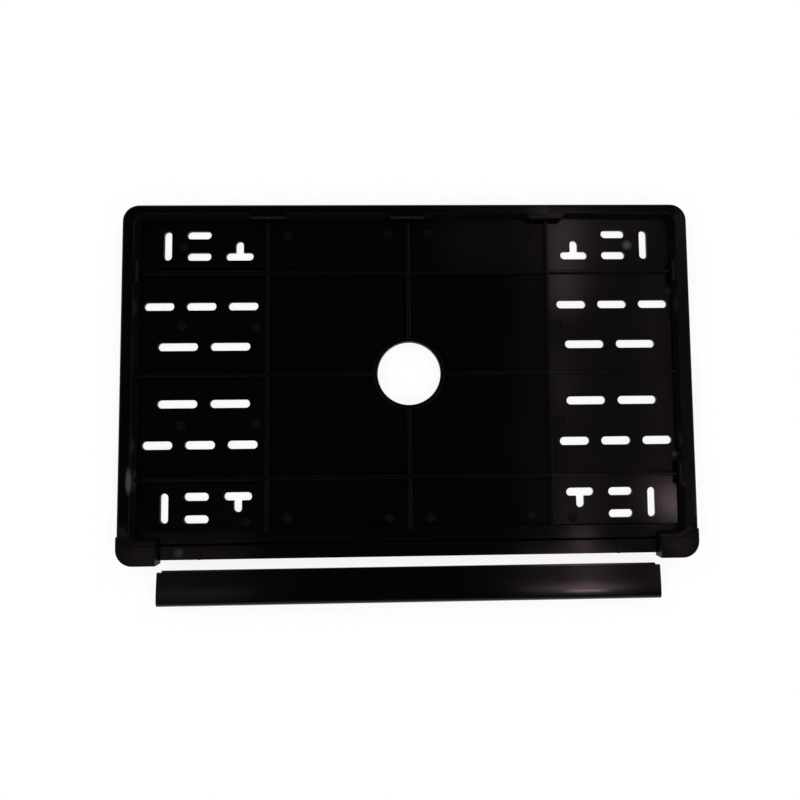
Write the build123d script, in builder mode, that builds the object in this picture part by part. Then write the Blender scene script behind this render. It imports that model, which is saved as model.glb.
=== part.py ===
"""Number plate holder for a two-line plate: a moulded tray and its clip-on retaining strip.

The tray lies on its back. The origin is on the axis of the centre hole, on the back plane,
with X along the plate, Y up the plate and Z out of its face. Sizes are in millimetres.
"""
import os
from math import radians, tan

from build123d import *

# The plate that the holder takes
plate_w = 340.0  # length of a two-line plate
plate_h = 200.0
plate_play = 0.6  # free room at each edge of the plate
plate_space = 2.1  # height left for the plate's flat edge under the tabs and the strip's lip

# Levels and walls of the tray
wall = 2.2
floor_t = 2.2
rib_h = 2.7  # ribs stand this far above the floor and carry the plate
rib_w = 2.2
tab_t = 1.4
block_step = 0.8  # corner blocks stand this far above the rim

# Rim round the plate
rim_side = 8.9
rim_top = 7.15
rim_low = 16.15  # depth of the bottom corners, where the strip and the blocks are
outer_r = 10.4
pocket_r = 5.0
pocket_lean = 10.0  # degrees that the pocket's wall leans out, to lead the plate in
rim_round = 1.8
rim_edge = 1.0
block_len = 24.0  # length of a corner block along the bottom edge
block_depth = 12.45
block_flare = 25.0  # radius of the curve in which a block's step runs out to the side
block_turn = 60.0  # degrees that the curve turns through, enough to leave the outline
block_flat = 8.5  # straight part of that step, from the block's inner end
block_edge = 0.7

# Tabs that hold the plate's top edge and sides
top_tab_reach = 2.85  # how far a tab stands out from the leaning wall
side_tab_reach = 2.25
top_tab_w = 26.7  # at the wall
top_tab_slant = 43.0
top_tab_x = 88.3
side_tab_w = 16.5
side_tab_slant = 50.0

# Ribs, hole and slots in the floor
rib_x = 89.25
rib_y = 65.0
rib_edge = 0.8
rib_over = 1.7  # how far the upright ribs run on over the ledge
rib_end_r = 1.0
hole_d = 40.0
ring_w = 2.6
slot_w = 5.1
triple_edge = 12.6  # from the side wall to the middle of the outermost slots
triple_pitch = 26.5
triple_len = 19.0
triple_y = 43.9
double_edge = 24.7
double_pitch = 32.9
double_len = 25.2
double_y = 18.1
corner_edge = 37.4
corner_len = 15.4
corner_rows = (10.7, 24.6)  # from the top or bottom wall to the two short slots
upright_edge = 17.6
upright_len = 18.6
tee_edge = 63.1
tee_len = 17.5
tee_stem = 7.25  # from the middle of the bar to the middle of the stem's round end

# Round marks left by the ejector pins: sets of four about the centre, and pairs
pin_d = 5.6
pin_depth = 0.25
pin_fours = ((143.5, 31.5), (96.2, 30.6), (77.0, 90.0), (13.0, 91.0))
pin_pairs = ((142.5, 82.7), (102.4, -91.8))
seat_pin_x = 143.0
seat_stop_x = 129.8
seat_stop_w = 2.0
seat_stop_h = 0.8

# Seat along the bottom edge and the strip that clips on it
ledge_in = 4.2  # how far the ledge reaches under the plate's bottom edge
ledge_drop = 0.3  # the ledge lies this far below the top of the ribs
ledge_over = 3.7  # how far the ledge runs on past the gap between the blocks
flange_drop = 0.2  # the flange lies this far below the ledge
flange_t = 1.6
flange_len = 8.35
flange_short = 1.2  # room between the flange and the strip's bottom wall, for the hook to swing in
strip_play = 0.2  # clearance between the strip and its seat
strip_end_play = 0.5
strip_t = 1.8
strip_wall = 1.5
tongue_t = 1.4
hook_t = 1.3
hook_len = 2.4
lip_reach = 5.85  # how far the lip stands over the plate
lip_t = 1.2
lip_w = 1.2
lip_foot = 2.0
lip_inset = 3.0  # the lip, tongue and hook stop short of each end of the face
crown = 0.25  # rise of the strip's convex face
face_round = 3.2
strip_apart = 25.1  # the strip lies this far below its seat, taken off the tray

# Worked out from the sizes above
pocket_x = plate_w / 2 + plate_play
pocket_y = plate_h / 2 + plate_play
outer_x = pocket_x + rim_side
outer_top = pocket_y + rim_top
outer_low = pocket_y + rim_low
outer_h = outer_top + outer_low
outer_mid = (outer_top - outer_low) / 2
gap_x = outer_x - block_len
rest_z = floor_t + rib_h
tab_z = rest_z + plate_space
lean_out = (tab_z - floor_t) * tan(radians(pocket_lean))
mouth_x = pocket_x + lean_out
mouth_y = pocket_y + lean_out
rim_z = tab_z + tab_t
block_z = rim_z + block_step
block_y = outer_low - block_depth
ledge_z = rest_z - ledge_drop
flange_z = ledge_z - flange_drop
hook_z = flange_z - flange_t - strip_play - hook_t
groove_t = hook_z - strip_play
ledge_y = pocket_y - ledge_in
rib_end_y = ledge_y + rib_over
flange_y = outer_low - strip_wall - flange_short
groove_low = flange_y - flange_len
groove_up = groove_low - tongue_t - 2 * strip_play
seat_pin_y = (groove_low + flange_y) / 2
lip_y = pocket_y - lip_reach
face_y = lip_y + lip_w
strip_x = gap_x - strip_end_play

os.makedirs("parts", exist_ok=True)


# Outline of the right-hand corner block: the tray's own corner, cut off by a step that flares out
with BuildSketch() as block_plan:
    with Locations((0, outer_mid)):
        RectangleRounded(2 * outer_x, outer_h, outer_r)
    with BuildLine():
        step = Line((gap_x, -block_y), (gap_x + block_flat, -block_y))
        flare = JernArc(step @ 1, step % 1, block_flare, block_turn)
        Polyline(flare @ 1, (outer_x + wall, -outer_low - wall), (gap_x, -outer_low - wall), step @ 0)
    make_face(mode=Mode.INTERSECT)

# Rib grid with the ring round the centre hole: the ribs end inside the walls that they run into,
# and the upright ones end round on the ledge
with BuildPart() as rib_grid:
    with BuildSketch(Plane.XY.offset(floor_t)) as rib_plan:
        with Locations((-rib_x, -rib_end_y), (0, -rib_end_y), (rib_x, -rib_end_y)):
            Rectangle(rib_w, rib_end_y + pocket_y + wall / 2, align=(Align.CENTER, Align.MIN))
        fillet(rib_plan.vertices().group_by(Axis.Y)[0], radius=rib_end_r)
        with Locations((0, -rib_y), (0, 0), (0, rib_y)):
            Rectangle(2 * pocket_x + wall, rib_w)
        Circle(hole_d / 2 + ring_w)
        Circle(hole_d / 2, mode=Mode.SUBTRACT)
    extrude(amount=rib_h)
    fillet(rib_grid.faces().sort_by(Axis.Z)[-1].edges(), radius=rib_edge)

# Base tray
with BuildPart() as base_tray:
    # Slab of the outer outline with the corner blocks raised on it, both with rounded upper edges
    with BuildSketch():
        with Locations((0, outer_mid)):
            RectangleRounded(2 * outer_x, outer_h, outer_r)
    extrude(amount=rim_z)
    with BuildSketch():
        add(block_plan.sketch)
        mirror(about=Plane.YZ)
    extrude(amount=block_z)
    rim_edges = base_tray.faces().filter_by_position(Axis.Z, rim_z, rim_z).edges()
    fillet(rim_edges.filter_by(lambda edge: edge.center().Y > -block_y / 2), radius=rim_round)
    fillet(base_tray.faces().filter_by(Plane.XY).group_by(Axis.Z)[-1].edges(), radius=block_edge)

    # Pocket for the plate, sunk to the floor, with a wall that leans out
    with BuildSketch(Plane.XY.offset(floor_t)):
        RectangleRounded(2 * pocket_x, 2 * pocket_y, pocket_r)
    extrude(amount=tab_z - floor_t, taper=-pocket_lean, mode=Mode.SUBTRACT)

    # The mouth of the pocket leaves the tabs standing over the plate's top edge and sides
    root = (Align.CENTER, Align.MIN)
    with BuildSketch(Plane.XY.offset(tab_z)):
        RectangleRounded(2 * mouth_x, 2 * mouth_y, pocket_r + lean_out)
        with Locations((-top_tab_x, mouth_y), (0, mouth_y), (top_tab_x, mouth_y)):
            Trapezoid(top_tab_w, top_tab_reach, top_tab_slant, rotation=180, align=root, mode=Mode.SUBTRACT)
        with Locations((mouth_x, rib_y), (mouth_x, -rib_y)):
            Trapezoid(side_tab_w, side_tab_reach, side_tab_slant, rotation=90, align=root, mode=Mode.SUBTRACT)
        with Locations((-mouth_x, rib_y), (-mouth_x, -rib_y)):
            Trapezoid(side_tab_w, side_tab_reach, side_tab_slant, rotation=-90, align=root, mode=Mode.SUBTRACT)
    extrude(amount=tab_t, mode=Mode.SUBTRACT)
    mouth = base_tray.faces().filter_by_position(Axis.Z, rim_z, rim_z)[0].inner_wires()[0]
    fillet(mouth.edges(), radius=rim_edge)

    # The rim and the blocks are hollow from behind, with a wall left at each end of the strip's gap
    with BuildSketch():
        with Locations((0, outer_mid)):
            RectangleRounded(2 * (outer_x - wall), outer_h - 2 * wall, outer_r - wall)
        RectangleRounded(2 * (pocket_x + wall), 2 * (pocket_y + wall), pocket_r + wall, mode=Mode.SUBTRACT)
        with Locations((0, -outer_low)):
            Rectangle(2 * (gap_x + wall), 2 * rim_low, mode=Mode.SUBTRACT)
    extrude(amount=rim_z - wall, mode=Mode.SUBTRACT)
    with BuildSketch():
        offset(block_plan.sketch, amount=-wall)
        mirror(about=Plane.YZ)
    extrude(amount=block_z - wall, mode=Mode.SUBTRACT)

    # The gap between the blocks, and in it the stepped seat for the strip: ledge, groove and flange
    with BuildSketch():
        with Locations((0, -outer_low)):
            Rectangle(2 * gap_x, 2 * rim_low)
    extrude(amount=block_z, mode=Mode.SUBTRACT)
    with BuildSketch(Plane.YZ):
        with Locations((-ledge_y, 0)):
            Rectangle(ledge_in, ledge_z, align=(Align.MAX, Align.MIN))
    extrude(amount=gap_x + ledge_over, both=True)
    with BuildSketch(Plane.YZ):
        with BuildLine():
            Polyline(
                (-ledge_y, 0),
                (-ledge_y, ledge_z),
                (-groove_up, ledge_z),
                (-groove_up, groove_t),
                (-groove_low, groove_t),
                (-groove_low, flange_z),
                (-flange_y, flange_z),
                (-flange_y, flange_z - flange_t),
                (-groove_low - wall, flange_z - flange_t),
                (-groove_low - wall, 0),
                (-groove_up + wall, 0),
                (-groove_up + wall, ledge_z - wall),
                (-pocket_y, ledge_z - wall),
                (-pocket_y, 0),
                close=True,
            )
        make_face()
    extrude(amount=gap_x, both=True)
    with BuildSketch():
        with Locations((0, -ledge_y - wall)):
            Rectangle(2 * gap_x, groove_up - ledge_y - 2 * wall, align=(Align.CENTER, Align.MAX))
    extrude(amount=ledge_z - wall, mode=Mode.SUBTRACT)
    with BuildSketch(Plane.XY.offset(flange_z)):
        for side in (-1, 1):
            with Locations((side * seat_stop_x, -groove_low)):
                Rectangle(seat_stop_w, flange_len, align=(Align.CENTER, Align.MAX))
    extrude(amount=seat_stop_h)

    # Ribs that carry the plate
    add(rib_grid.part)

    # Centre hole and bolt slots
    with BuildSketch():
        Circle(hole_d / 2)
        for column in range(3):
            with GridLocations(2 * (pocket_x - triple_edge - column * triple_pitch), 2 * triple_y, 2, 2):
                SlotOverall(triple_len, slot_w)
        for column in range(2):
            with GridLocations(2 * (pocket_x - double_edge - column * double_pitch), 2 * double_y, 2, 2):
                SlotOverall(double_len, slot_w)
        for row in corner_rows:
            with GridLocations(2 * (pocket_x - corner_edge), 2 * (pocket_y - row), 2, 2):
                SlotOverall(corner_len, slot_w)
        with GridLocations(2 * (pocket_x - upright_edge), 2 * pocket_y - sum(corner_rows), 2, 2):
            SlotOverall(upright_len, slot_w, rotation=90)
        with GridLocations(2 * (pocket_x - tee_edge), 2 * (pocket_y - corner_rows[1]), 2, 2):
            SlotOverall(tee_len, slot_w)
        with GridLocations(2 * (pocket_x - tee_edge), 2 * (pocket_y - corner_rows[1]) + tee_stem, 2, 2):
            SlotCenterToCenter(tee_stem, slot_w, rotation=90)
    extrude(amount=floor_t, mode=Mode.SUBTRACT)

    # Shallow round marks of the ejector pins
    with BuildSketch(Plane.XY.offset(floor_t - pin_depth)):
        for pin_x, pin_y in pin_fours:
            with GridLocations(2 * pin_x, 2 * pin_y, 2, 2):
                Circle(pin_d / 2)
        for pin_x, pin_y in pin_pairs:
            with Locations((-pin_x, pin_y), (pin_x, pin_y)):
                Circle(pin_d / 2)
    extrude(amount=pin_depth, mode=Mode.SUBTRACT)
    with BuildSketch(Plane.XY.offset(flange_z - pin_depth)):
        with Locations((-seat_pin_x, -seat_pin_y), (seat_pin_x, -seat_pin_y)):
            Circle(pin_d / 2)
    extrude(amount=pin_depth, mode=Mode.SUBTRACT)

# Retaining strip, drawn as it sits on the tray and laid apart by the plane of its profile
strip_plane = Plane(origin=(0, -strip_apart, -hook_z), x_dir=(0, 1, 0), z_dir=(1, 0, 0))
with BuildPart() as retaining_strip:
    # Long shell: a slope, a crease in line with the blocks' step, a convex face and the bottom wall
    with BuildSketch(strip_plane) as shell:
        with BuildLine():
            slope = Line((-face_y, rim_z), (-block_y, block_z - crown))
            face = ThreePointArc(slope @ 1, (-(block_y + outer_low) / 2, block_z), (-outer_low, block_z - crown))
            Polyline(
                face @ 1,
                (-outer_low, hook_z),
                (-outer_low + strip_wall, hook_z),
                (-outer_low + strip_wall, block_z - crown - strip_t),
                (-block_y, block_z - crown - strip_t),
                (-face_y, rim_z - strip_t),
                slope @ 0,
            )
        make_face()
        bottom_edge = shell.vertices().sort_by_distance(face @ 1)[0]
        fillet(bottom_edge, radius=face_round)
    extrude(amount=strip_x, both=True)

    # Lip over the plate, tongue for the groove and hook for the flange, short of each end
    with BuildSketch(strip_plane):
        with Locations((-lip_y, tab_z)):
            Rectangle(lip_w + lip_foot, lip_t, align=(Align.MAX, Align.MIN))
        with Locations((-groove_up - strip_play, hook_z)):
            Rectangle(tongue_t, block_z - strip_t - hook_z, align=(Align.MAX, Align.MIN))
        with Locations((-outer_low, hook_z)):
            Rectangle(strip_wall + hook_len, hook_t, align=Align.MIN)
    extrude(amount=strip_x - lip_inset, both=True)

base_tray.part.label = "base_tray"
export_step(base_tray.part, "parts/base_tray.step")
retaining_strip.part.label = "retaining_strip"
export_step(retaining_strip.part, "parts/retaining_strip.step")
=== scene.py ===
# %% [markdown]
# # Number plate holder
# A moulded tray for a two-line number plate lies on its back, with its clip-on retaining strip taken
# off and laid below it. Both solids come from the CAD frame and show as they are. This lesson gives
# them a finish, a place to lie on, light and the photograph's camera.

# %% Load the frame
import math

import bpy
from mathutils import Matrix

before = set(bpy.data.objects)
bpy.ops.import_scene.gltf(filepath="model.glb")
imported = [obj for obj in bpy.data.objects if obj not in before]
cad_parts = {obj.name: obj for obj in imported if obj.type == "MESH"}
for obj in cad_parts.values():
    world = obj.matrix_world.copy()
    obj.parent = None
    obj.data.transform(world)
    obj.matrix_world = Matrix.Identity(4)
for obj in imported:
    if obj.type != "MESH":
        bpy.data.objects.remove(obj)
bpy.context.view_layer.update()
scene = bpy.context.scene
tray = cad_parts["base_tray"]
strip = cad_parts["retaining_strip"]

# %% [markdown]
# ## Camera
# The photograph looks almost straight down from close by, so the rim leans outwards in it. A longer
# lens from further off would be simpler to set, but it would lose that lean. So the camera was fitted
# to the bolt slots, which lie level and mirror each other across the tray's two centre lines: a lens,
# a place and a small tilt were sought that show them where the picture has them. The picture's middle
# is a little off the lens axis, as after a crop, and the shift repeats that.

# %% Camera fitted to the slots
PICTURE_PX = 800
FOCAL_PX = 590.0
AXIS_PX = (421.83, 390.80)
SENSOR_MM = 36.0
EYE = (-0.00139, -0.03367, 0.37625)
EYE_TILT = (3.474, -1.402, -0.627)  # degrees
NEAREST_SEEN = 0.01

lens = bpy.data.cameras.new("photo_camera")
lens.sensor_width = SENSOR_MM
lens.lens = FOCAL_PX / PICTURE_PX * SENSOR_MM
lens.shift_x = (PICTURE_PX / 2 - AXIS_PX[0]) / PICTURE_PX
lens.shift_y = (AXIS_PX[1] - PICTURE_PX / 2) / PICTURE_PX
lens.clip_start = NEAREST_SEEN
camera = bpy.data.objects.new("photo_camera", lens)
camera.location = EYE
camera.rotation_euler = [math.radians(angle) for angle in EYE_TILT]
scene.collection.objects.link(camera)
scene.camera = camera
scene.view_settings.view_transform = "Standard"
print("lens %.2f mm, %.0f mm above the table" % (lens.lens, camera.location.z * 1000))

# %% [markdown]
# ## Shader maths
# A material is a graph of nodes. Writing each link by hand hides the idea, so a small class wraps an
# output socket: adding or multiplying two of these adds the Math node for it. One more method makes
# any other node from its type, its settings and what goes into its sockets.


# %% A socket that does arithmetic
class Wire:
    """An output socket in a node tree, or the bare tree when there is no socket yet."""

    def __init__(self, tree, socket=None):
        self.tree = tree
        self.socket = socket

    def feed(self, value, socket):
        """Link a wire to a socket, or set the socket's own value."""
        if isinstance(value, Wire):
            self.tree.links.new(value.socket, socket)
        else:
            socket.default_value = value

    def node(self, kind, settings=None, sockets=None, out=0):
        """Add a node: settings are set first, then socket values or links by name or number."""
        made = self.tree.nodes.new("ShaderNode" + kind)
        for name, value in (settings or {}).items():
            if name == "stops":
                stops = made.color_ramp.elements
                while len(stops) < len(value):
                    stops.new(0.5)
                for stop, (place, colour) in zip(stops, value):
                    stop.position = place
                    stop.color = colour
            else:
                setattr(made, name, value)
        for name, value in (sockets or {}).items():
            self.feed(value, made.inputs[name])
        return Wire(self.tree, made.outputs[out]) if len(made.outputs) else made

    def maths(self, operation, *values):
        """A Math node on numbers or wires."""
        return self.node("Math", {"operation": operation}, dict(enumerate(values)))

    def __add__(self, other):
        return self.maths("ADD", self, other)

    def __radd__(self, other):
        return self.maths("ADD", other, self)

    def __sub__(self, other):
        return self.maths("SUBTRACT", self, other)

    def __rsub__(self, other):
        return self.maths("SUBTRACT", other, self)

    def __mul__(self, other):
        return self.maths("MULTIPLY", self, other)

    def __rmul__(self, other):
        return self.maths("MULTIPLY", other, self)

    def __truediv__(self, other):
        return self.maths("DIVIDE", self, other)

    def __rtruediv__(self, other):
        return self.maths("DIVIDE", other, self)

    def __abs__(self):
        return self.maths("ABSOLUTE", self)

    def parts(self):
        """The three numbers of a vector."""
        return [self.node("SeparateXYZ", sockets={0: self}, out=axis) for axis in "XYZ"]

    def clamp(self, low=0.0, high=1.0):
        """Held between low and high."""
        return self.maths("MINIMUM", self.maths("MAXIMUM", self, low), high)

    def step(self, low, high):
        """0 below low, 1 above high, and a smooth rise between them."""
        return self.node("MapRange", {"interpolation_type": "SMOOTHSTEP"},
                         {"Value": self, "From Min": low, "From Max": high})


def new_board(owner):
    """An empty node tree on a material, a world or a lamp, as a bare wire."""
    owner.use_nodes = True
    owner.node_tree.nodes.clear()
    return Wire(owner.node_tree)


print("shader maths ready")

# %% [markdown]
# ## Floor
# The object lies on plain white paper. A sheet that is bright only to the camera would lose the
# shadow, and one that is white by light alone would show a darker shadow than the photograph does. So
# the paper is a dim diffuse sheet with a glow added for the rays that show the background. The two
# levels add up to white in full light, and the sheet's own part fades in the shade.

# %% A sheet of floor
FLOOR_HALF = 3.0
FLOOR_DROP = 0.0002  # keeps the sheet just clear of the underside

corners = [(-FLOOR_HALF, -FLOOR_HALF, 0), (FLOOR_HALF, -FLOOR_HALF, 0),
           (FLOOR_HALF, FLOOR_HALF, 0), (-FLOOR_HALF, FLOOR_HALF, 0)]
floor_mesh = bpy.data.meshes.new("floor")
floor_mesh.from_pydata(corners, [], [(0, 1, 2, 3)])
floor = bpy.data.objects.new("floor", floor_mesh)
floor.location.z = -FLOOR_DROP
scene.collection.objects.link(floor)
print("floor", 2 * FLOOR_HALF, "m wide")

# %% White paper that keeps the shadow
PAPER_TONE = 0.12
PAPER_GLOW = 0.89
FAR_GLOW = 0.11  # added away from the object, where the softboxes no longer reach
FAR_REACH = (0.5, 1.8)  # metres from the origin, where that glow begins and where it is full


def background_rays(board):
    """1 for rays that show the background: from the camera, a mirror or glass."""
    kinds = ("Is Camera Ray", "Is Glossy Ray", "Is Transmission Ray")
    direct, mirrored, through = [board.node("LightPath", out=kind) for kind in kinds]
    return (direct + mirrored + through).clamp()


paper = bpy.data.materials.new("white_paper")
sheet = new_board(paper)
spot = sheet.node("TexCoord", out="Object")
away = sheet.node("VectorMath", {"operation": "LENGTH"}, {0: spot}, out="Value")
paper_glow = PAPER_GLOW + FAR_GLOW * away.step(*FAR_REACH)
matt = sheet.node("BsdfDiffuse", sockets={"Color": (PAPER_TONE, PAPER_TONE, PAPER_TONE, 1)})
glow = sheet.node("Emission", sockets={"Color": background_rays(sheet) * paper_glow})
both = sheet.node("AddShader", sockets={0: matt, 1: glow})
sheet.node("OutputMaterial", sockets={"Surface": both})
floor_mesh.materials.append(paper)
print("paper tone", PAPER_TONE, "and glow", PAPER_GLOW)

# %% [markdown]
# ## Room
# Black plastic seen from above mirrors the ceiling, and a white ceiling would turn it grey, so the
# room is dark overhead. Its walls are pale, because views from the side mirror those. Two dim windows,
# on the left and the right, draw the thin light lines along the upright ribs, and a dimmer one in
# front picks out the tabs' noses. A picture of a room would do the same, but a formula on the
# direction of a ray is easier to set and needs no file.

# %% The slope of a ray
LEAST_RISE = 0.03

room = bpy.data.worlds.new("room")
scene.world = room
sky = new_board(room)
aside, ahead, up = sky.node("TexCoord", out="Generated").parts()
rise = sky.maths("MAXIMUM", up, LEAST_RISE)
slope = sky.maths("SQRT", aside * aside + ahead * ahead) / rise
print("slope of a ray: its run to the side over its rise, up to", round(1 / LEAST_RISE))

# %% Dark ceiling, pale walls and three dim windows
CEILING = 0.005
WALLS = 0.13
WALL_LEAN = (0.8, 1.9)  # slopes where the walls begin and where they are at their full level
WINDOW = 0.20
FRONT_WINDOW = 0.08
WINDOW_LEAN = ((0.65, 0.95), (1.5, 2.4))  # slopes across a window, where it begins and ends
WINDOW_HALF = (0.5, 1.1)  # slopes along a window, where it fades out


def window(across, along):
    """1 in a window: the slope across lies in its band, and the slope along within its half length."""
    lean = across / rise
    inside = lean.step(*WINDOW_LEAN[0]) * (1 - lean.step(*WINDOW_LEAN[1]))
    return inside * (1 - (abs(along) / rise).step(*WINDOW_HALF))


windows = WINDOW * window(abs(aside), ahead) + FRONT_WINDOW * window(-1 * ahead, aside)
level = CEILING + windows + WALLS * slope.step(*WALL_LEAN)
seen = sky.node("LightPath", out="Is Camera Ray")
dome = sky.node("Background", sockets={"Color": seen + (1 - seen) * level.clamp()})
sky.node("OutputWorld", sockets={"Surface": dome})
print("ceiling", CEILING, "walls", WALLS, "windows", WINDOW, "and", FRONT_WINDOW)

# %% [markdown]
# ## Studio light
# Four large softboxes stand at the corners, at one distance and one height, and together they light
# a level surface at a plain level, at which a colour shows about as it is written. One lamp would
# throw a shadow to one side, and the photograph shows hardly any. They leave no mirror image, so that
# the plastic's highlights come only from the room and from the lamps of the next step.


# %% Four corner softboxes
CORNERS = 4
SOFTBOX_ZENITH = math.radians(56.0)
SOFTBOX_AWAY = 1.5
SOFTBOX_SIZE = 0.8
PLAIN_LEVEL = 0.9  # light on a level surface, where 1 shows a colour as written


def stand_softbox(name, azimuth, share):
    """A square lamp aimed at the origin that gives its share of the plain level on a level surface."""
    face = SOFTBOX_SIZE ** 2
    radiance = share * math.pi * SOFTBOX_AWAY ** 2 / (face * math.cos(SOFTBOX_ZENITH))
    data = bpy.data.lights.new(name, "AREA")
    data.shape = "SQUARE"
    data.size = SOFTBOX_SIZE
    data.energy = radiance * math.pi * face
    lamp = bpy.data.objects.new(name, data)
    flat = SOFTBOX_AWAY * math.sin(SOFTBOX_ZENITH)
    height = SOFTBOX_AWAY * math.cos(SOFTBOX_ZENITH)
    lamp.location = (flat * math.cos(azimuth), flat * math.sin(azimuth), height)
    lamp.rotation_euler = (-lamp.location).to_track_quat("-Z", "Y").to_euler()
    lamp.visible_glossy = False
    scene.collection.objects.link(lamp)
    print(name, [round(c, 2) for c in lamp.location], "%.1f W" % data.energy)


for corner in range(CORNERS):
    stand_softbox("softbox_%d" % corner, math.tau * (corner + 0.5) / CORNERS, PLAIN_LEVEL / CORNERS)

# %% [markdown]
# ## Lamps in the mirror
# On a flat glossy floor seen from so close, each spot mirrors its own part of the ceiling. So the
# soft patches on the right of the tray say where dim lamps hang: the line from the lens to the spot
# goes on upwards from there to the lamp. Painting the patches on the plastic would be quicker, but
# they would stay in place when the view moves. A bare area lamp has a hard edge in the mirror, so
# each one fades out towards its edges, as the cloth of a softbox does.


# %% A lamp with soft edges
EDGE_FADE = 0.6  # share of a lamp's half width over which it fades


def soften(light):
    """Fade a lamp to nothing at its edges, by a smooth rise from each edge."""
    board = new_board(light)
    u, v = board.node("NewGeometry", out="Parametric").parts()[:2]
    fade = [(1 - abs(2 * t - 1)).step(0.0, EDGE_FADE) for t in (u, v)]
    bulb = board.node("Emission", sockets={"Color": fade[0] * fade[1]})
    board.node("OutputLight", sockets={"Surface": bulb})


print("lamps fade over", EDGE_FADE, "of their half width")

# %% [markdown]
# Where two lamps overlap at one height, a mirrored ray meets only one of them, even where that one has
# faded to nothing. So each lamp hangs a little above the last, and lamps that overlap add up.

# %% Hang a lamp where a spot mirrors it
LAMP_TINT = (1.0, 0.74, 0.76)
LAMP_HEIGHT = 1.2
LAMP_STEP = 0.004
FLOOR_Z = 0.0022  # top of the tray's floor
STRIP_Z = 0.0078  # about the top of the strip's face
hung = []


def hang_lamp(name, over, width, length, radiance, table=FLOOR_Z):
    """A level lamp that shows, as wide and long as given, at the spot over = (x, y) of a face.

    table is the face's height. The line from the lens to the spot is mirrored there and goes on to the
    lamp, longer or shorter by the ratio of the lamp's height above the face to the lens's. At the given
    width and length the lamp has faded to half.
    """
    eye = camera.location
    height = LAMP_HEIGHT + LAMP_STEP * len(hung)
    ratio = (height - table) / (eye.z - table)
    growth = (1 + ratio) / (1 - EDGE_FADE / 2)
    data = bpy.data.lights.new(name, "AREA")
    data.shape = "RECTANGLE"
    data.color = LAMP_TINT
    data.size = width * growth
    data.size_y = length * growth
    data.energy = radiance * math.pi * data.size * data.size_y
    soften(data)
    lamp = bpy.data.objects.new(name, data)
    lamp.location = (over[0] + (over[0] - eye.x) * ratio, over[1] + (over[1] - eye.y) * ratio, height)
    scene.collection.objects.link(lamp)
    hung.append(lamp)
    print(name, "at", [round(c, 3) for c in lamp.location], "%.3f W" % data.energy)
    return lamp


def hang_lamps(rows):
    """Hang a lamp for each name, from its row of values."""
    for name, row in rows.items():
        hang_lamp(name, *row)


print("lamps hang from", LAMP_HEIGHT, "m up")

# %% [markdown]
# ### The column beside the right rib
# The largest patch is a tall column beside the right upright rib: strong at the top, with a haze to its
# right, and weaker further down. One long lamp would be even from end to end, so five make it.

# %% Five lamps for the column
COLUMN = {  # the spot that mirrors it, width, length and radiance
    "column_top": ((0.108, 0.070), 0.013, 0.058, 1.0),
    "column_haze": ((0.125, 0.090), 0.052, 0.014, 0.19),
    "column_middle": ((0.106, -0.003), 0.012, 0.046, 0.28),
    "column_low": ((0.111, -0.045), 0.028, 0.040, 0.05),
    "column_foot": ((0.112, -0.082), 0.022, 0.026, 0.22),
}
hang_lamps(COLUMN)

# %% [markdown]
# ### The seat and the strip
# The column goes on over the strip's seat and shows on the strip as a bright bar in a wide haze. The
# strip's face is higher than the tray's floor, so its lamps are worked out for that height.

# %% Lamps over the seat and the strip
SEAT_AND_STRIP = {  # as above, with the height of the face
    "seat_lamp": ((0.108, -0.107), 0.012, 0.018, 1.15, FLOOR_Z),
    "strip_lamp": ((0.108, -0.136), 0.022, 0.0085, 8.4, STRIP_Z),
    "strip_haze": ((0.103, -0.130), 0.060, 0.030, 0.66, STRIP_Z),
}
hang_lamps(SEAT_AND_STRIP)

# %% [markdown]
# ### The lower right corner
# One small bright patch lies in the tray's lower right corner. The strip's end would mirror its lamp
# as well, and it is dark in the photograph, so light linking lets this lamp light the tray alone.

# %% A lamp for the tray alone
CORNER_PATCH = ((0.1565, -0.0825), 0.009, 0.007, 8.6)


def light_only(lamp, node):
    """Let a lamp light one piece alone."""
    lit = bpy.data.collections.new(lamp.name + "_lights")
    lit.objects.link(node)
    lamp.light_linking.receiver_collection = lit


light_only(hang_lamp("corner_lamp", *CORNER_PATCH), tray)

# %% [markdown]
# ### The faint sheen
# The rest of the right half has a faint sheen: over the slotted panels, at the right edge, to the left
# of the rib, on the corner block, on the upper panel and on the right tab of the top edge. On the left
# only the strip's end and the corner block have some. Dim lamps give it, broad ones over the panels
# and the strip, and small ones over the blocks and the tab.

# %% Lamps for the sheen on the right and the left
RIGHT_SHEEN = {
    "panel_lamp": ((0.129, -0.003), 0.064, 0.190, 0.066),
    "side_lamp": ((0.152, -0.010), 0.014, 0.170, 0.13),
    "centre_lamp": ((0.074, 0.000), 0.014, 0.200, 0.06),
    "block_lamp": ((0.170, -0.110), 0.014, 0.012, 0.5),
    "upper_lamp": ((0.064, 0.090), 0.070, 0.040, 0.068),
    "tab_lamp": ((0.087, 0.109), 0.018, 0.012, 1.25),
}
LEFT_SHEEN = {
    "far_lamp": ((-0.136, -0.128), 0.070, 0.050, 0.17, STRIP_Z),
    "far_block_lamp": ((-0.166, -0.110), 0.020, 0.016, 0.15, FLOOR_Z),
}
hang_lamps(RIGHT_SHEEN)
hang_lamps(LEFT_SHEEN)

# %% [markdown]
# ## Black moulded plastic
# The plastic is taken to be black polypropylene, as is common in such holders, moulded in a polished
# tool. The colour hardly shows: what the eye reads is the soft sheen. A plain black with one roughness
# would look like ink, so the finish lives in roughness and in a very slight unevenness of the surface:
# a fine skin grain, the shallow peel of the moulding, dull clouds where hands have been and short
# rubbed lines.

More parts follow.
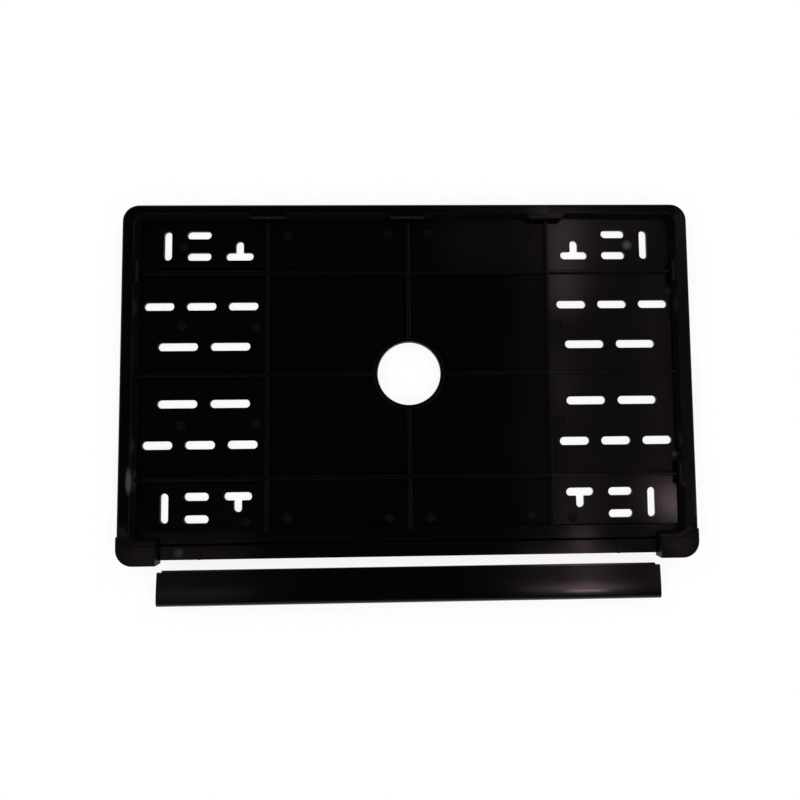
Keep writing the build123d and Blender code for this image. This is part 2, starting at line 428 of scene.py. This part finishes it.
# %% Clouds, peel, grain and rubbed lines
CLOUD = (22.0, 3.0)  # scale and detail of each noise
PEEL = (240.0, 1.0)
GRAIN = (2600.0, 2.0)
RUB = (1.0, 2.0)
RUB_STRETCH = (14.0, 900.0, 60.0)
RUB_CREST = (0.60, 0.70)


def noise(board, place, kind, seed=0.0):
    """A noise of this (scale, detail) about 0.5, another one for each seed."""
    scale, detail = kind
    return board.node("TexNoise", {"noise_dimensions": "4D"},
                      {"Vector": place, "W": seed, "Scale": scale, "Detail": detail}, out="Fac")


def rubbed_lines(board, place, seed):
    """Thin lines along X: a noise drawn out along X, kept only near its crests."""
    drawn = board.node("Mapping", sockets={"Vector": place, "Scale": RUB_STRETCH})
    return noise(board, drawn, RUB, seed).step(*RUB_CREST)


print("clouds of about %.0f mm, peel of about %.0f mm" % (1000 / CLOUD[0], 1000 / PEEL[0]))

# %% [markdown]
# The tool is polished on its level faces only. Walls, and the rounded edges of ribs and rim, come out
# matt, and would show as hard bright lines if they were as glossy as the floor. The normal of a face
# says which it is.

# %% Matt slopes
LEVEL = (0.75, 0.98)  # upward part of a normal, where a face begins to be level and where it is level


def slopes(board):
    """1 on walls and rounded edges, and 0 on level faces."""
    upward = board.node("NewGeometry", out="True Normal").parts()[2]
    return 1 - abs(upward).step(*LEVEL)


print("faces tilted by more than %.0f degrees are matt" % math.degrees(math.acos(LEVEL[0])))

# %% [markdown]
# Both pieces take the same recipe, with a form of their own: a function that gives the face's height,
# where it is dull and where it is pale, from wear or from a painted highlight. A Bevel node rounds the
# look of the edges that the tool left sharp, and four Bump nodes in a row add the form, the clouds, the
# peel and the grain.

# %% The recipe
BODY_TONES = ((0.30, (0.0012, 0.0010, 0.0011, 1)), (0.75, (0.0019, 0.0016, 0.0018, 1)))
# the pale colour of wear, and of the painted highlights on the tray
WEAR_AND_HIGHLIGHT_TONE = (0.052, 0.047, 0.047, 1)
CLOUD_DULL = 0.05  # what each adds to the roughness
GRAIN_DULL = 0.02
RUB_DULL = 0.05
MARK_DULL = 0.42
SLOPE_DULL = 0.50
EDGE_ROUND = 0.0004
EDGE_SAMPLES = 6
FORM_RISE = 1.0  # a form is in metres already
CLOUD_RISE = 0.00004
PEEL_RISE = 0.0000025
GRAIN_RISE = 0.0000008
PLASTIC_IOR = 1.49
SKIN_ROUGHNESS = 0.07


def moulded_black(name, seed, gloss, skin, form):
    """Black plastic: gloss is its least roughness, skin the weight of a clear coat.

    form(board, place) gives a face's height in metres, where it is dull and where it is pale, from wear
    or from a painted highlight.
    """
    material = bpy.data.materials.new(name)
    board = new_board(material)
    place = board.node("TexCoord", out="Object")
    cloud = noise(board, place, CLOUD, seed)
    peel = noise(board, place, PEEL, seed)
    grain = noise(board, place, GRAIN)
    rubbed = rubbed_lines(board, place, seed)
    height, dull, wear_and_highlights = form(board, place)

    uneven = gloss + CLOUD_DULL * cloud + GRAIN_DULL * grain + RUB_DULL * rubbed * cloud
    roughness = uneven + MARK_DULL * dull + SLOPE_DULL * slopes(board)
    body = board.node("ValToRGB", {"stops": BODY_TONES}, {"Fac": cloud})
    # pale where the plastic is worn and where a highlight is painted on it
    colour = board.node("Mix", {"data_type": "RGBA"}, {0: wear_and_highlights, 6: body, 7: WEAR_AND_HIGHLIGHT_TONE}, out=2)
    normal = board.node("Bevel", {"samples": EDGE_SAMPLES}, {"Radius": EDGE_ROUND})
    bumps = ((height, FORM_RISE), (cloud, CLOUD_RISE), (peel, PEEL_RISE), (grain, GRAIN_RISE))
    for bump, distance in bumps:
        normal = board.node("Bump", sockets={"Distance": distance, "Height": bump, "Normal": normal})
    shader = board.node("BsdfPrincipled", sockets={
        "Base Color": colour, "Roughness": roughness, "Normal": normal, "IOR": PLASTIC_IOR,
        "Coat Weight": skin, "Coat Roughness": SKIN_ROUGHNESS})
    board.node("OutputMaterial", sockets={"Surface": shader})
    return material


def dress(node, material):
    """Give a solid its finish."""
    node.data.materials.clear()
    node.data.materials.append(material)
    print(node.name, "wears", material.name, "on", len(node.data.polygons), "triangles")


print("plastic recipe ready")

# %% [markdown]
# ## The tray's sunken panels
# Between its ribs the tray's floor has sunk a little as it cooled, which is why a highlight breaks
# off at a rib and starts again beyond it. The sag is under half a millimetre, too little to show as a
# shape, so a bump gives it: a parabola across each panel, both ways.

# %% Sunken panels
PLATE = (0.340, 0.200)
PLAY = 0.0006  # between the plate and the pocket's wall
POCKET_X, POCKET_Y = [side / 2 + PLAY for side in PLATE]
RIB_X = 0.08925
RIB_Y = 0.065
SAG_X = 0.00036
SAG_Y = 0.00010


def bow(along, rib, wall):
    """1 in the middle of each panel and 0 at the centre line, the rib and the wall, by a parabola."""
    reach = abs(along)
    inner = reach * (2 / rib) - 1
    outer = (reach - rib) * (2 / (wall - rib)) - 1
    return (1 - inner * inner).clamp() + (1 - outer * outer).clamp()


print("panels sink by up to %.2f mm" % (1000 * (SAG_X + SAG_Y)))

# %% [markdown]
# ## Pin marks and painted highlights
# The pins that pushed the tray out of its tool left round marks, duller than the polished floor. Two
# of them glint, and so do small patches at three of the side tabs; these glints are painted highlights,
# pale spots in the colour. All are ovals, worked out from the distance to their middle, and the
# painted highlights are blurred, as they are in the photograph.


# %% Ovals
def oval(x, y, middle, half, blur):
    """1 inside an oval with these half axes and 0 outside it, fading over a share of its size."""
    across = (x - middle[0]) / half[0]
    along = (y - middle[1]) / half[1]
    reach = x.maths("SQRT", across * across + along * along)
    return 1 - reach.step(1 - blur, 1 + blur)


print("ovals ready")

# %% Dull pin marks
PIN_R = 0.0028
PIN_BLUR = 0.0002
PIN_FOURS = ((0.1435, 0.0315), (0.0962, 0.0306), (0.077, 0.090), (0.013, 0.091))  # in each quarter
PIN_PAIRS = ((0.1425, 0.0827), (0.1024, -0.0918))  # on the left and the right


def pin_marks(x, y):
    """1 on the round mark of each pin."""
    marks = [oval(abs(x), abs(y), pin, (PIN_R, PIN_R), PIN_BLUR / PIN_R) for pin in PIN_FOURS]
    marks += [oval(abs(x), y, pin, (PIN_R, PIN_R), PIN_BLUR / PIN_R) for pin in PIN_PAIRS]
    return sum(marks).clamp()


print(4 * len(PIN_FOURS) + 2 * len(PIN_PAIRS), "pin marks")

# %% Painted highlight spots
HIGHLIGHT_BLUR = 0.55
HIGHLIGHT_SPOTS = (  # middle, half width and half length, strength of each painted highlight
    ((-0.1723, -0.0653), (0.0016, 0.0066), 0.95),  # on the lower left tab
    ((0.1688, -0.0530), (0.0016, 0.0018), 0.62),  # above the lower right tab
    ((0.1688, 0.0523), (0.0018, 0.0018), 0.24),  # below the upper right tab
    ((0.1425, 0.0827), (0.0027, 0.0027), 0.85),  # the pin mark in the upper right corner
    ((-0.1430, -0.1101), (0.0027, 0.0027), 0.38),  # a pin mark on the seat
)


def highlight_spots(x, y):
    """Each painted highlight spot at its own strength."""
    return sum(oval(x, y, middle, half, HIGHLIGHT_BLUR) * strength for middle, half, strength in HIGHLIGHT_SPOTS)


# the number of painted highlight spots
print(len(HIGHLIGHT_SPOTS), "light marks")

# %% [markdown]
# ## The rim and the tabs' noses
# The rim's top leans a little inwards along both sides, so it mirrors another part of the ceiling than
# the floor beside it. The tabs stand in over the plate's edge, and a light line runs along each nose.
# It is a painted highlight: a narrow pale band along each nose, only at the tabs' height.

# %% Leaning side rims
LEAN_OUT = 0.0009  # how much further out the pocket's wall is at its mouth
MOUTH_X = POCKET_X + LEAN_OUT
MOUTH_Y = POCKET_Y + LEAN_OUT
RIM_WIDTH = 0.009  # over which the rim rises
RIM_SLOPE = 0.07


def rim_rise(x, y):
    """How far the side rims' tops have risen: a straight slope from the mouth to the outer edge."""
    side = (abs(x) - MOUTH_X).clamp(0.0, RIM_WIDTH) * y.step(-POCKET_Y, -POCKET_Y + RIM_WIDTH)
    return side * RIM_SLOPE


print("side rims lean by %.0f degrees" % math.degrees(math.atan(RIM_SLOPE)))

# %% Painted highlights on the noses
TOP_TAB_X = 0.0883  # middle of an outer top tab
TOP_REACH = 0.00285  # how far a tab stands in from the mouth
TOP_HALF = 0.0106  # half the length of its nose
SIDE_REACH = 0.00225
SIDE_HALF = 0.0065
SIDE_SHARE = 0.6  # the painted highlight is fainter on the side tabs
NOSE_BAND_WIDTH = 0.0016
NOSE_BLUR = 0.0004
TAB_Z = (0.0070, 0.0072)  # heights between which a tab's upper part begins


def along_nose(offset, half):
    """1 along a nose, up to half its length from its middle."""
    return 1 - abs(offset).step(half - NOSE_BLUR, half)


def behind_nose(reach, nose):
    """1 at the nose, fading over the painted band's width behind it."""
    return reach.step(nose - NOSE_BLUR, nose) * (1 - reach.step(nose + NOSE_BLUR, nose + NOSE_BAND_WIDTH))


def tab_nose_highlights(x, y, z):
    """1 on the painted highlight along the noses of the three top tabs, and less on those of the four
    side tabs.
    """
    top = along_nose(abs(x) - TOP_TAB_X, TOP_HALF) + along_nose(x, TOP_HALF)
    top = top * behind_nose(y, MOUTH_Y - TOP_REACH)
    side = along_nose(abs(y) - RIB_Y, SIDE_HALF) * behind_nose(abs(x), MOUTH_X - SIDE_REACH)
    return (top + side * SIDE_SHARE).clamp() * z.step(*TAB_Z)


# the width of the painted highlight along each nose
print("noses rubbed over %.1f mm" % (1000 * NOSE_BAND_WIDTH))

# %% [markdown]
# ## The tray's finish
# The forms of the last steps are put together here. The panels' sag ends at the seat's ledge and
# leaves out the pin marks, which are flat. Pin marks, noses and highlight spots are all dull. The pin
# marks are pale from wear, and the noses and spots carry painted highlights, paler by different
# amounts.

# %% Dress the tray
LEDGE_Y = 0.0964
LEDGE_FADE = 0.0002
PIN_WEAR = 0.008
# the pale colour painted along the noses as a highlight
NOSE_HIGHLIGHT = 0.17
TRAY_SEED = 1.0
TRAY_GLOSS = 0.08
TRAY_SKIN = 0.0


def tray_form(board, place):
    """The tray's height, where it is dull, and where it is pale from wear or from painted highlights.
    """
    x, y, z = place.parts()
    marks = pin_marks(x, y)
    # painted highlights along the tabs' noses
    noses = tab_nose_highlights(x, y, z)
    # painted highlights: pale spots where the plastic glints
    light = highlight_spots(x, y)
    floor_only = (1 - marks) * y.step(-LEDGE_Y, -LEDGE_Y + LEDGE_FADE)
    sunk = (bow(x, RIB_X, POCKET_X) * SAG_X + bow(y, RIB_Y, POCKET_Y) * SAG_Y) * floor_only
    # pale colour: wear on the pin marks, painted highlights on the noses and the spots
    wear_and_highlights = marks * PIN_WEAR + noses * NOSE_HIGHLIGHT + light
    return rim_rise(x, y) - sunk, (marks + noses + light).clamp(), wear_and_highlights.clamp()


dress(tray, moulded_black("tray_plastic", TRAY_SEED, TRAY_GLOSS, TRAY_SKIN, tray_form))

# %% [markdown]
# ## The strip's finish
# The strip's highlight has a sharp core in a soft haze. One roughness can't give both, so a clear coat
# stands for the moulding's hard skin over a softer sheen. The face leans a little and has a long wave
# in it, so its highlight is a bar that is not quite even. Its ends are duller and a little paler.

# %% Dress the strip
STRIP_SEED = 4.0
STRIP_GLOSS = 0.14
STRIP_SKIN = 0.5
STRIP_LEAN = 0.028
WAVE = (9.0, 1.0)
WAVE_SEED = 2.0
WAVE_RISE = 0.0001
END_X = (0.150, 0.155)  # from where the ends begin to the tip
END_DULL = 0.2
END_WEAR = 0.013


def strip_form(board, place):
    """The strip's height, a lean and a wave, and its ends, which are dull and worn."""
    x, y = place.parts()[:2]
    height = noise(board, place, WAVE, WAVE_SEED) * WAVE_RISE + y * STRIP_LEAN
    ends = abs(x).step(*END_X)
    return height, ends * END_DULL, ends * END_WEAR


dress(strip, moulded_black("strip_plastic", STRIP_SEED, STRIP_GLOSS, STRIP_SKIN, strip_form))
